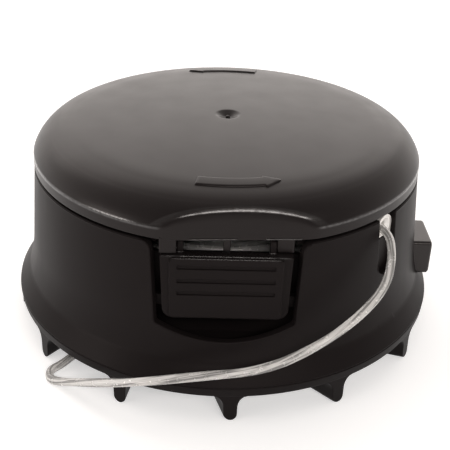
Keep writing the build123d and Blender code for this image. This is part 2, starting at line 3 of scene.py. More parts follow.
import bmesh
import bpy
from mathutils import Matrix, Vector


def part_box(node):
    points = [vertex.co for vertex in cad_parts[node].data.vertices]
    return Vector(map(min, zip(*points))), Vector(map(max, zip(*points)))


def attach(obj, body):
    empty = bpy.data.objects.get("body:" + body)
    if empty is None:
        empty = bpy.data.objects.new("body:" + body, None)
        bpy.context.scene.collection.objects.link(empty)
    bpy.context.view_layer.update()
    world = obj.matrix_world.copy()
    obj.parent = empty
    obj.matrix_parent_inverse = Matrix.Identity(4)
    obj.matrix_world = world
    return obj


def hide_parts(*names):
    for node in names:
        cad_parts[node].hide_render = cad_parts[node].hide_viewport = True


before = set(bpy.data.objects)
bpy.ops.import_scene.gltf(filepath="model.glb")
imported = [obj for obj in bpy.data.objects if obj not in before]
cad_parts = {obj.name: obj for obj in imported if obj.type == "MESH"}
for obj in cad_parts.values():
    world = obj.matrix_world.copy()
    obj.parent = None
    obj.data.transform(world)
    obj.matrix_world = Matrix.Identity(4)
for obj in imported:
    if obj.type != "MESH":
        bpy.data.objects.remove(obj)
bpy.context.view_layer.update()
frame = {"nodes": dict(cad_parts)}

bl_info = {
    "name": "Trimmer head",
    "version": (1, 0, 0),
    "blender": (4, 5, 0),
    "location": "3D View > Sidebar > Trimmer head",
    "description": "Builds the finished pieces of a line trimmer head on its packed frame",
    "category": "Object",
}

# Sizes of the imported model, in millimetres
MM = 0.001
CAP_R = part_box("cap")[1][0] / MM
CAP_TOP = 50.5
FACET_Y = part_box("cap")[1][1] / MM
FACET_TURN = 3.2
FLAT_DROP = 0.42
LID_WALL = 2.8
DOME_DROP = 1.14
SHOULDER_R = CAP_R - 9.17
CREASE_Z = CAP_TOP - 7.44
SEAM_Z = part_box("cap")[0][2] / MM + 2.5
RIM_R = CAP_R - 2.5
RIM_WALL = 1.5
SKIRT_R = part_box("housing")[1][0] / MM
SKIRT_LOW = 8.64
FLARE_R = SKIRT_R - 2.84
FLARE_Z = 13.1
FLARE_CENTRE = (85.66, 23.96)
FLARE_ARC = 37.28
WALL_LOW_Z = 21.0
TAB_TOP = SEAM_Z - 2.7
NOTCH_HALF = 15.9
NOTCH_CORNER = 20.9
NOTCH_ROUND = 2.4
NOTCH_DEPTH = 3.0
NOTCH_ARC = 40.0
EYELET_TURN = 49.0
EYELET_HOLE_Z = SEAM_Z - 3.1
SLOT_HALF = 3.1
SLOT_CORNER = 28.6
SIDE_X = SKIRT_R - 0.54
LUG_Y = (-10.0, 2.5)
LUG_Z = (12.3, 21.4)
LUG_WALL = 1.6
LUG_EDGE = 0.75
LUG_CORNER = 0.9
BLADE_PHASE = 2.8
BLADE_SWEEP = 15.0
BLADE_HALF = 1.42
BLADE_ROUND = 1.4
BLADE_DRAFT = 0.03
FILLET_Z = 3.6
FILLET_HEIGHT = 2.75
FILLET_WIDTH = 2.2

# Falls of the two bands along a flat's edge, as height over distance out
EDGE_FALL = 1.6
DROP_FALL = 3.3
EDGE_BLEND = 0.1

# Making of edges and surfaces
EDGE_STEPS = 3
GRAIN_DEPTH = 0.00005
TURNING_MARKS = 900.0
TAB_ROUNDING = 0.00022

# Stage, in metres: each lamp's name, place and size, and the setting with its power
WARM = (1.0, 0.94, 0.90)
AIM = (0.0, 0.0, 0.04)
LAMPS = (
    ("rear_lamp", (0.06, 0.80, 0.35), (0.85, 0.50), "rear_power"),
    ("left_lamp", (-0.76, -0.36, 0.17), (0.36, 0.12), "left_power"),
    ("side_lamp", (-0.50, 0.52, 0.58), (0.50, 0.50), "side_power"),
    ("front_lamp", (0.20, -0.68, 0.52), (0.75, 0.15), "front_power"),
)
CAMERA_PLACE = (0.000143, -0.198372, 0.128508)
FLOOR_HALF = 60.0
FLOOR_GREY = 0.82
FLOOR_GLOW = 0.45

# Surround: the way its bright side faces, and its strength between two facings
BRIGHT_SIDE = (-0.12, 0.75, -0.35)
DIM, BRIGHT = 0.05, 1.75
FACING_DIM, FACING_BRIGHT = -0.75, 0.53

# The line's route, point by point as in the part's source
LINE_ROUTE = (
    (0.01549, -0.02914, 0.03631),
    (0.02842, -0.02523, 0.03659),
    (0.03574, -0.03151, 0.03681),
    (0.03605, -0.03733, 0.03303),
    (0.03446, -0.04165, 0.02829),
    (0.02847, -0.04738, 0.02437),
    (0.01966, -0.05258, 0.02030),
    (0.00800, -0.05621, 0.01627),
    (-0.00549, -0.05602, 0.01445),
    (-0.01757, -0.05375, 0.01075),
    (-0.02748, -0.04916, 0.00658),
    (-0.03405, -0.04438, 0.00276),
    (-0.03769, -0.04215, 0.00105),
    (-0.03974, -0.04101, 0.00105),
    (-0.03999, -0.03808, 0.00105),
    (-0.03777, -0.03596, 0.00105),
    (-0.03529, -0.03200, 0.00105),
    (-0.03113, -0.02668, 0.00105),
)


# Shared making of meshes

class Shape:
    """Points and faces of one piece, gathered in millimetres."""

    def __init__(self):
        self.verts = []
        self.faces = []

    def add(self, verts, faces, turn=0.0):
        """Adds a shell, turned about Z."""
        base = len(self.verts)
        c, s = cos(radians(turn)), sin(radians(turn))
        self.verts += [(x * c - y * s, x * s + y * c, z) for x, y, z in verts]
        self.faces += [tuple(base + i for i in face) for face in faces]

    def grid(self, rows, closed=False):
        """Adds quads between rows of points. A row of one point is a pole."""
        verts = []
        starts = []
        for row in rows:
            starts.append(len(verts))
            verts += row
        faces = []
        for i in range(len(rows) - 1):
            a, b = starts[i], starts[i + 1]
            na, nb = len(rows[i]), len(rows[i + 1])
            steps = max(na, nb)
            for k in range(steps if closed else steps - 1):
                n = (k + 1) % steps
                if na == 1:
                    faces.append((a, b + k, b + n))
                elif nb == 1:
                    faces.append((a + k, b, a + n))
                else:
                    faces.append((a + k, b + k, b + n, a + n))
        self.add(verts, faces)

    def lathe(self, profile, steps=180, closed=True):
        """Adds a profile of radius and height turned about Z."""
        rows = []
        for r, z in list(profile) + ([profile[0]] if closed else []):
            if r < 1e-6:
                rows.append([(0.0, 0.0, z)])
                continue
            rows.append([(r * sin(2 * pi * k / steps), -r * cos(2 * pi * k / steps), z) for k in range(steps)])
        self.grid(rows, closed=True)

    def block(self, low, high, edge, turn=0.0):
        """Adds a box with rounded edges."""
        bm = bmesh.new()
        bmesh.ops.create_cube(bm, size=1.0)
        for v in bm.verts:
            v.co = [(a + b) / 2 + t * (b - a) for a, b, t in zip(low, high, v.co)]
        bmesh.ops.bevel(bm, geom=list(bm.edges), offset=edge, segments=EDGE_STEPS, profile=0.5, affect="EDGES")
        bm.verts.index_update()
        self.add([tuple(v.co) for v in bm.verts], [[v.index for v in f.verts] for f in bm.faces], turn)
        bm.free()

    def arc_bar(self, section, start, end):
        """Adds a closed section of radius and height swept between two turns."""
        steps = max(4, int(abs(end - start) / 1.5))
        loops = []
        for k in range(steps + 1):
            t = start + (end - start) * k / steps
            loops.append([around(r, t, z) for r, z in section])
        self.tube(loops)

    def tube(self, loops):
        """Adds closed loops joined one to the next, with both ends filled."""
        n = len(loops[0])
        verts = [p for loop in loops for p in loop]
        faces = []
        for i in range(len(loops) - 1):
            for k in range(n):
                m = (k + 1) % n
                faces.append((i * n + k, i * n + m, (i + 1) * n + m, (i + 1) * n + k))
        faces.append(tuple(reversed(range(n))))
        faces.append(tuple((len(loops) - 1) * n + k for k in range(n)))
        self.add(verts, faces)

    def piece(self, name, join=False, solid=True, sharp=48.0):
        """Makes the mesh object, in metres."""
        mesh = bpy.data.meshes.new(name)
        mesh.from_pydata([(x * MM, y * MM, z * MM) for x, y, z in self.verts], [], self.faces)
        bm = bmesh.new()
        bm.from_mesh(mesh)
        if join:
            bmesh.ops.remove_doubles(bm, verts=list(bm.verts), dist=1e-6)
        if solid:
            bmesh.ops.recalc_face_normals(bm, faces=list(bm.faces))
        bm.to_mesh(mesh)
        bm.free()
        mesh.shade_smooth()
        mesh.set_sharp_from_angle(angle=radians(sharp))
        piece = bpy.data.objects.new(name, mesh)
        bpy.context.scene.collection.objects.link(piece)
        return piece


def around(r, turn, z):
    """Point at a radius, a turn from -Y toward +X, and a height."""
    a = radians(turn)
    return (r * sin(a), -r * cos(a), z)


def eased(points, radius, steps=4, closed=True):
    """Rounds the corners of a profile."""
    out = []
    n = len(points)
    for i, (r, z) in enumerate(points):
        if not closed and i in (0, n - 1):
            out.append((r, z))
            continue
        here = Vector((r, z))
        back = Vector(points[i - 1]) - here
        ahead = Vector(points[(i + 1) % n]) - here
        ease = min(radius, 0.45 * back.length, 0.45 * ahead.length)
        a = here + back.normalized() * ease
        b = here + ahead.normalized() * ease
        for k in range(steps + 1):
            t = k / steps
            p = a * (1 - t) ** 2 + here * 2 * t * (1 - t) + b * t ** 2
            out.append((p.x, p.y))
    return out


def arc_through(a, b, c, steps):
    """Points on the circle through three points of a profile."""
    ax, ay = a
    bx, by = b
    cx, cy = c
    d = 2 * (ax * (by - cy) + bx * (cy - ay) + cx * (ay - by))
    ux = ((ax**2 + ay**2) * (by - cy) + (bx**2 + by**2) * (cy - ay) + (cx**2 + cy**2) * (ay - by)) / d
    uy = ((ax**2 + ay**2) * (cx - bx) + (bx**2 + by**2) * (ax - cx) + (cx**2 + cy**2) * (bx - ax)) / d
    r = hypot(ax - ux, ay - uy)
    t0 = atan2(ay - uy, ax - ux)
    t1 = atan2(cy - uy, cx - ux)
    return [(ux + r * cos(t0 + (t1 - t0) * k / steps), uy + r * sin(t0 + (t1 - t0) * k / steps))
            for k in range(steps + 1)]


def soft_least(a, b, blend):
    """Smaller of two lengths, rounded where they meet."""
    near = max(blend - abs(a - b), 0.0) / blend
    return min(a, b) - near * near * blend / 4


def even_shade(piece):
    """Keeps flat faces flat beside rounded edges."""
    normals = piece.modifiers.new("Flat faces", "WEIGHTED_NORMAL")
    normals.keep_sharp = True
    normals.weight = 60


def round_edges(piece, width, angle=34.0, weld=True):
    """Moulded edge rounding, left as modifiers."""
    if weld:
        piece.modifiers.new("Join faces", "WELD").merge_threshold = 2e-6
    bevel = piece.modifiers.new("Moulded edges", "BEVEL")
    bevel.width = width
    bevel.segments = EDGE_STEPS
    bevel.limit_method = "ANGLE"
    bevel.angle_limit = radians(angle)
    bevel.use_clamp_overlap = False
    bevel.harden_normals = True
    bevel.miter_outer = "MITER_ARC"


def dress(piece, material):
    """Gives a piece one finish."""
    piece.data.materials.clear()
    piece.data.materials.append(material)


def settle(piece, material, slot, *nodes):
    """Finishes a new piece and rides it on the head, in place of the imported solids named."""
    dress(piece, material)
    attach(piece, "head")
    if nodes:
        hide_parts(*nodes)


# Finishes

def finish_nodes(name):
    """Empty node finish with its shader, ready for detail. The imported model's own materials stay as they are."""
    name += "_finish"
    material = bpy.data.materials.get(name)
    if material:
        return material, None, None
    material = bpy.data.materials.new(name)
    material.use_nodes = True
    tree = material.node_tree
    shader = tree.nodes["Principled BSDF"]
    return material, tree, shader


def noise(tree, scale, detail=2.0, stretch=None):
    """Noise in the object's own coordinates."""
    where = tree.nodes.new("ShaderNodeTexCoord")
    out = where.outputs["Object"]
    if stretch:
        mapping = tree.nodes.new("ShaderNodeMapping")
        mapping.inputs["Scale"].default_value = stretch
        tree.links.new(out, mapping.inputs["Vector"])
        out = mapping.outputs["Vector"]
    node = tree.nodes.new("ShaderNodeTexNoise")
    node.inputs["Scale"].default_value = scale
    node.inputs["Detail"].default_value = detail
    tree.links.new(out, node.inputs["Vector"])
    return node.outputs["Fac"]


def spread(tree, value, low, high, at_low=0.3, at_high=0.7):
    """Maps a value onto a range."""
    node = tree.nodes.new("ShaderNodeMapRange")
    node.inputs["From Min"].default_value = at_low
    node.inputs["From Max"].default_value = at_high
    node.inputs["To Min"].default_value = low
    node.inputs["To Max"].default_value = high
    tree.links.new(value, node.inputs["Value"])
    return node.outputs["Result"]


def between(tree, value, dark, light):
    """Colour between two colours, by a value."""
    node = tree.nodes.new("ShaderNodeMix")
    node.data_type = "RGBA"
    node.inputs["A"].default_value = (*dark, 1.0)
    node.inputs["B"].default_value = (*light, 1.0)
    tree.links.new(value, node.inputs["Factor"])
    return node.outputs["Result"]


def grain(tree, shader, height, strength, depth):
    """Bump of a surface grain."""
    bump = tree.nodes.new("ShaderNodeBump")
    bump.inputs["Strength"].default_value = strength
    bump.inputs["Distance"].default_value = depth
    tree.links.new(height, bump.inputs["Height"])
    tree.links.new(bump.outputs["Normal"], shader.inputs["Normal"])


def moulded_plastic(name, tint, rough, gloss, highlight_coat=None):
    """Black moulded nylon: fine mould grain, cloudy sheen, and painted highlights where the coat mask gives them: a
    clear glossy coat laid only along chosen edges so that they catch bright highlights.
    """
    material, tree, shader = finish_nodes(name)
    if tree is None:
        return material
    cloud = noise(tree, 55.0, 3.0)
    dark = tuple(c * 0.9 for c in tint)
    light = tuple(c * 1.12 for c in tint)
    tree.links.new(between(tree, cloud, dark, light), shader.inputs["Base Color"])
    rubbed = noise(tree, 160.0, 4.0, stretch=(1.0, 1.0, 0.35))
    tree.links.new(spread(tree, rubbed, rough - 0.02, rough + 0.025), shader.inputs["Roughness"])
    # Painted highlight: a clear glossy coat laid only where the mask gives it, so those edges catch bright highlights
    if highlight_coat:
        tree.links.new(highlight_coat(tree), shader.inputs["Coat Weight"])
        shader.inputs["Coat Roughness"].default_value = 0.16
        shader.inputs["Coat IOR"].default_value = 1.6
    shader.inputs["Specular IOR Level"].default_value = gloss
    shader.inputs["Specular Tint"].default_value = (1.0, 0.94, 0.92, 1.0)
    grain(tree, shader, noise(tree, 3200.0, 3.0), 0.05, GRAIN_DEPTH)
    return material


def joined(tree, operation, a, b):
    """One value made from two."""
    node = tree.nodes.new("ShaderNodeMath")
    node.operation = operation
    tree.links.new(a, node.inputs[0])
    tree.links.new(b, node.inputs[1])
    return node.outputs["Value"]


def times(tree, a, b):
    """Product of two values."""
    return joined(tree, "MULTIPLY", a, b)


def greatest(tree, a, b):
    """Larger of two values."""
    return joined(tree, "MAXIMUM", a, b)


def place_parts(tree, turn=0.0):
    """Distances from the middle along two level directions, and the height."""
    where = tree.nodes.new("ShaderNodeTexCoord")
    parts = tree.nodes.new("ShaderNodeSeparateXYZ")
    tree.links.new(where.outputs["Object"], parts.inputs["Vector"])
    sides = []
    for angle in (turn, turn + 90.0):
        along = tree.nodes.new("ShaderNodeVectorMath")
        along.operation = "DOT_PRODUCT"
        along.inputs[1].default_value = (cos(radians(angle)), sin(radians(angle)), 0.0)
        tree.links.new(where.outputs["Object"], along.inputs[0])
        out = tree.nodes.new("ShaderNodeMath")
        out.operation = "ABSOLUTE"
        tree.links.new(along.outputs["Value"], out.inputs[0])
        sides.append(out.outputs["Value"])
    return *sides, parts.outputs["Z"]


def band(tree, value, low, high, fade):
    """One between two places in millimetres, fading to nothing on both sides."""
    start = spread(tree, value, 0.0, 1.0, (low - fade) * MM, low * MM)
    end = spread(tree, value, 1.0, 0.0, high * MM, (high + fade) * MM)
    return times(tree, start, end)


def ragged_highlight(tree):
    """Uneven strength of a painted highlight coat."""
    return spread(tree, noise(tree, 1300.0, 2.0), 0.5, 1.0, 0.35, 0.55)


def highlight_coat_cap(tree):
    """Painted highlight: a glossy coat along the crease, the edges of the two flats and the lips over the latch
    windows, laid there so they catch bright highlights.
    """
    _, y, z = place_parts(tree, FACET_TURN)
    above = spread(tree, z, 0.0, 1.0, CREASE_Z * MM, (CREASE_Z + 0.7) * MM)
    flats = times(tree, band(tree, y, FACET_Y - 1.2, FACET_Y - FLAT_DROP - 0.05, 0.1), above)
    crease = times(tree, band(tree, z, CREASE_Z - 0.2, CREASE_Z + 0.2, 0.3),
                   spread(tree, y, 1.0, 0.0, (FACET_Y - 0.6) * MM, (FACET_Y - 0.3) * MM))
    lips = times(tree, spread(tree, y, 0.0, 1.0, (FACET_Y + 0.05) * MM, (FACET_Y + 0.1) * MM),
                 spread(tree, z, 0.0, 1.0, (SEAM_Z + 0.5) * MM, (SEAM_Z + 0.6) * MM))
    return times(tree, greatest(tree, greatest(tree, flats, crease), lips), ragged_highlight(tree))


def highlight_coat_tab(tree):
    """Painted highlight: a glossy coat along the top edge of a press tab."""
    x, _, z = place_parts(tree)
    return times(tree, times(tree, band(tree, z, TAB_TOP - 0.3, TAB_TOP + 0.1, 0.1),
                             spread(tree, x, 1.0, 0.0, 0.009, 0.014)), ragged_highlight(tree))


def clear_nylon(name, tint, shade_streaks=False, clear=0.35, dim=0.36):
    """Clear nylon. For the free line, dark streaks along its own length are painted shade in its colour, standing in
    for the dark bands that refraction makes in clear line; otherwise the colour has a random haze.
    """
    material, tree, shader = finish_nodes(name)
    if tree is None:
        return material
    # Painted shade: dark streaks around and along the line, from a noise laid out along the line's own length
    if shade_streaks:
        lay = tree.nodes.new("ShaderNodeAttribute")
        lay.attribute_name = "lay"
        shade_streak = tree.nodes.new("ShaderNodeTexNoise")
        shade_streak.inputs["Scale"].default_value = 1.7
        shade_streak.inputs["Detail"].default_value = 3.0
        tree.links.new(lay.outputs["Vector"], shade_streak.inputs["Vector"])
        haze_and_shade = spread(tree, shade_streak.outputs["Fac"], 0.0, 1.0, 0.43, 0.53)
    else:
        haze_and_shade = noise(tree, 420.0, 3.0)
    dark = tuple(c * dim for c in tint)
    tree.links.new(between(tree, haze_and_shade, dark, tint), shader.inputs["Base Color"])
    tree.links.new(spread(tree, noise(tree, 900.0, 2.0), 0.16, 0.30), shader.inputs["Roughness"])
    shader.inputs["Transmission Weight"].default_value = clear
    shader.inputs["IOR"].default_value = 1.53
    grain(tree, shader, noise(tree, 300.0, 2.0), 0.02, 0.0001)
    return material


def bare_metal(name, tint, rough, bare=1.0):
    """Bright or ground metal with fine turning marks."""
    material, tree, shader = finish_nodes(name)
    if tree is None:
        return material
    stain = noise(tree, 240.0, 3.0)
    dark = tuple(c * 0.82 for c in tint)
    tree.links.new(between(tree, stain, dark, tint), shader.inputs["Base Color"])
    marks = noise(tree, TURNING_MARKS, 3.0)
    tree.links.new(spread(tree, marks, rough - 0.06, rough + 0.08), shader.inputs["Roughness"])
    shader.inputs["Metallic"].default_value = bare
    grain(tree, shader, noise(tree, TURNING_MARKS * 2, 2.0, stretch=(1.0, 1.0, 6.0)), 0.06, GRAIN_DEPTH)
    return material


# Sizes and colours

class TrimmerHeadFinishes(bpy.types.PropertyGroup):
    """Colours and gloss of the head's materials."""
    plastic_tint: bpy.props.FloatVectorProperty(
        name="Plastic colour", description="Colour of the moulded drum, cap and fan", subtype="COLOR",
        size=3, min=0.0, max=1.0, default=(0.0108, 0.0087, 0.0088))
    cap_rough: bpy.props.FloatProperty(
        name="Cap roughness", description="Roughness of the cap's satin top", subtype="FACTOR",
        min=0.0, max=1.0, default=0.32)
    drum_rough: bpy.props.FloatProperty(
        name="Drum roughness", description="Roughness of the drum's wall", subtype="FACTOR",
        min=0.0, max=1.0, default=0.42)
    line_tint: bpy.props.FloatVectorProperty(
        name="Line colour", description="Colour of the clear nylon line", subtype="COLOR",
        size=3, min=0.0, max=1.0, default=(0.96, 0.95, 0.93))


class TrimmerCapSizes(bpy.types.PropertyGroup):
    """Sizes of the cap's detail."""
    flat_edge: bpy.props.FloatProperty(
        name="Flat edge", description="Depth of the bevelled edge where a flat meets the dome", subtype="DISTANCE",
        unit="LENGTH", min=0.0001, max=0.002, default=0.00075)
    arrow_height: bpy.props.FloatProperty(
        name="Arrow height", description="Height of the raised arrows", subtype="DISTANCE", unit="LENGTH",
        min=0.0001, max=0.001, default=0.00035)


class TrimmerDrumSizes(bpy.types.PropertyGroup):
    """Sizes of the drum and its fan."""
    wall: bpy.props.FloatProperty(
        name="Wall", description="Thickness of the drum's wall", subtype="DISTANCE", unit="LENGTH",
        min=0.001, max=0.004, default=0.0021)
    edge_rounding: bpy.props.FloatProperty(
        name="Edge rounding", description="Rounding of the drum's edges", subtype="DISTANCE", unit="LENGTH",
        min=0.0001, max=0.001, default=0.00035)
    blades: bpy.props.IntProperty(
        name="Blades", description="Number of fan blades", min=5, max=24, default=13)


class TrimmerLineSizes(bpy.types.PropertyGroup):
    """Sizes of the free line."""
    thickness: bpy.props.FloatProperty(
        name="Thickness", description="Line diameter", subtype="DISTANCE", unit="LENGTH",
        min=0.0005, max=0.004, default=0.002)
    twist_pitch: bpy.props.FloatProperty(
        name="Twist pitch", description="Length of one turn of the line's twist", subtype="DISTANCE",
        unit="LENGTH", min=0.005, max=0.2, default=0.085)


class TrimmerHeadStage(bpy.types.PropertyGroup):
    """Camera and light of the stage."""
    lens: bpy.props.FloatProperty(
        name="Lens", description="Camera lens length in millimetres", min=20.0, max=200.0, default=69.38)
    tilt: bpy.props.FloatProperty(
        name="Tilt", description="Camera tilt below level", subtype="ANGLE", unit="ROTATION", default=0.502)
    roll: bpy.props.FloatProperty(
        name="Roll", description="Camera roll", subtype="ANGLE", unit="ROTATION", default=0.031)
    swing: bpy.props.FloatProperty(
        name="Swing", description="Turn of the camera round the head", subtype="ANGLE", unit="ROTATION",
        default=radians(-0.9))
    rear_power: bpy.props.FloatProperty(
        name="Rear lamp", description="Power of the large lamp behind", unit="POWER", min=0.0, default=1.0)
    left_power: bpy.props.FloatProperty(
        name="Left lamp", description="Power of the low lamp at the left", unit="POWER", min=0.0, default=1.3)
    side_power: bpy.props.FloatProperty(
        name="Side lamp", description="Power of the lamp behind the head on the left", unit="POWER", min=0.0,
        default=1.0)
    front_power: bpy.props.FloatProperty(
        name="Front lamp", description="Power of the narrow lamp in front", unit="POWER", min=0.0, default=3.0)


class TRIMMER_HEAD_OT_stage(bpy.types.Operator):
    """Set the camera, the pale floor and the soft lamps"""
    bl_idname = "trimmer_head.stage"
    bl_label = "Stage"

    def execute(self, context):
        setup = context.scene.trimmer_head_stage
        camera = bpy.data.objects.new("camera", bpy.data.cameras.new("camera"))
        context.scene.collection.objects.link(camera)
        camera.data.lens = setup.lens
        camera.data.sensor_width = 36.0
        camera.data.clip_start = 0.01
        stand = Matrix.Translation(CAMERA_PLACE)
        camera.matrix_world = (Matrix.Rotation(setup.swing, 4, "Z") @ stand
                               @ Matrix.Rotation(pi / 2 - setup.tilt, 4, "X")
                               @ Matrix.Rotation(setup.roll, 4, "Z"))
        context.scene.camera = camera
        context.scene.view_settings.view_transform = "Standard"

        half = FLOOR_HALF / MM
        ground = Shape()
        ground.add([(-half, -half, 0), (half, -half, 0), (half, half, 0), (-half, half, 0)], [(0, 1, 2, 3)])
        floor = ground.piece("floor", solid=False)
        dress(floor, self.floor_finish())
        self.sky(context)
        for name, place, size, power in LAMPS:
            self.lamp(context, name, place, size, getattr(setup, power))
        return {"FINISHED"}

    def floor_finish(self):
        """Pale floor that the camera sees as white, and that keeps the shadow."""
        material, tree, shader = finish_nodes("pale_floor")
        shader.inputs["Base Color"].default_value = (FLOOR_GREY, FLOOR_GREY, FLOOR_GREY, 1.0)
        shader.inputs["Roughness"].default_value = 0.9
        shader.inputs["Specular IOR Level"].default_value = 0.1
        seen = tree.nodes.new("ShaderNodeLightPath")
        shown = greatest(tree, seen.outputs["Is Camera Ray"], seen.outputs["Is Transmission Ray"])
        shown = greatest(tree, shown, seen.outputs["Is Glossy Ray"])
        shader.inputs["Emission Color"].default_value = (1.0, 1.0, 1.0, 1.0)
        tree.links.new(spread(tree, shown, 0.0, FLOOR_GLOW, 0.0, 1.0), shader.inputs["Emission Strength"])
        return material

    def sky(self, context):
        """Bright studio surround behind the head, fading overhead and toward the camera."""
        world = bpy.data.worlds.new("surround")
        context.scene.world = world
        world.use_nodes = True
        tree = world.node_tree
        back = tree.nodes["Background"]
        back.inputs["Color"].default_value = (*WARM, 1.0)
        where = tree.nodes.new("ShaderNodeTexCoord")
        facing = tree.nodes.new("ShaderNodeVectorMath")
        facing.operation = "DOT_PRODUCT"
        facing.inputs[1].default_value = BRIGHT_SIDE
        tree.links.new(where.outputs["Generated"], facing.inputs[0])
        strength = spread(tree, facing.outputs["Value"], DIM, BRIGHT, FACING_DIM, FACING_BRIGHT)
        tree.links.new(strength, back.inputs["Strength"])

    def lamp(self, context, name, place, size, power):
        """Soft lamp aimed at the head, unseen by the camera."""
        light = bpy.data.lights.new(name, "AREA")
        light.shape = "RECTANGLE"
        light.size, light.size_y = size
        light.energy = power
        light.color = WARM
        lamp = bpy.data.objects.new(name, light)
        context.scene.collection.objects.link(lamp)
        lamp.location = place
        lamp.visible_camera = False
        lamp.rotation_euler = (Vector(AIM) - Vector(place)).to_track_quat("-Z", "Y").to_euler()


class TRIMMER_HEAD_OT_line(bpy.types.Operator):
    """Make the free nylon line along its route"""
    bl_idname = "trimmer_head.line"
    bl_label = "Line"

    def execute(self, context):
        sizes = context.scene.trimmer_line_sizes
        finishes = context.scene.trimmer_head_finishes
        path = self.route(context)
        piece = self.twisted(path, sizes.thickness / 2, sizes.twist_pitch)
        # The free line's colour carries painted shade streaks
        dress(piece, clear_nylon("line_nylon", finishes.line_tint, shade_streaks=True))
        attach(piece, "head")
        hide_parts("trimmer_line")
        return {"FINISHED"}

    def route(self, context):
        """Points read from one smooth spline over the route."""
        curve = bpy.data.curves.new("line_route", "CURVE")
        curve.dimensions = "3D"
        curve.resolution_u = 24
        spline = curve.splines.new("NURBS")
        spline.points.add(len(LINE_ROUTE) - 1)
        for point, place in zip(spline.points, LINE_ROUTE):
            point.co = (*place, 1.0)
        spline.order_u = 3
        spline.use_endpoint_u = True
        guide = bpy.data.objects.new("line_route", curve)
        context.scene.collection.objects.link(guide)
        context.view_layer.update()
        mesh = bpy.data.meshes.new_from_object(guide)
        path = [v.co.copy() for v in mesh.vertices]
        bpy.data.objects.remove(guide)
        bpy.data.meshes.remove(mesh)
        return path

    def twisted(self, path, radius, pitch):
        """Rounded square line, twisted along its length."""
        sides = 32
        loops = []
        lay = []
        along = 0.0
        up = Vector((0, 0, 1))
        for k, point in enumerate(path):
            ahead = (path[min(k + 1, len(path) - 1)] - path[max(k - 1, 0)]).normalized()
            if k:
                along += (point - path[k - 1]).length
            side = ahead.cross(up).normalized()
            up = side.cross(ahead).normalized()
            turn = 2 * pi * along / pitch
            loop = []
            for s in range(sides):
                a = 2 * pi * s / sides
                r = radius * (1.0 - 0.09 * (0.5 - 0.5 * cos(4 * a)))
                loop.append(tuple((point + r * (cos(a + turn) * side + sin(a + turn) * up)) / MM))
                # Coordinates along and around the line for its painted shade streaks
                lay += (along / MM * 0.05, cos(a), sin(a))
            loops.append(loop)
        shape = Shape()
        shape.tube(loops)
        piece = shape.piece("line_run")
        piece.data.attributes.new("lay", "FLOAT_VECTOR", "POINT").data.foreach_set("vector", lay)
        return piece


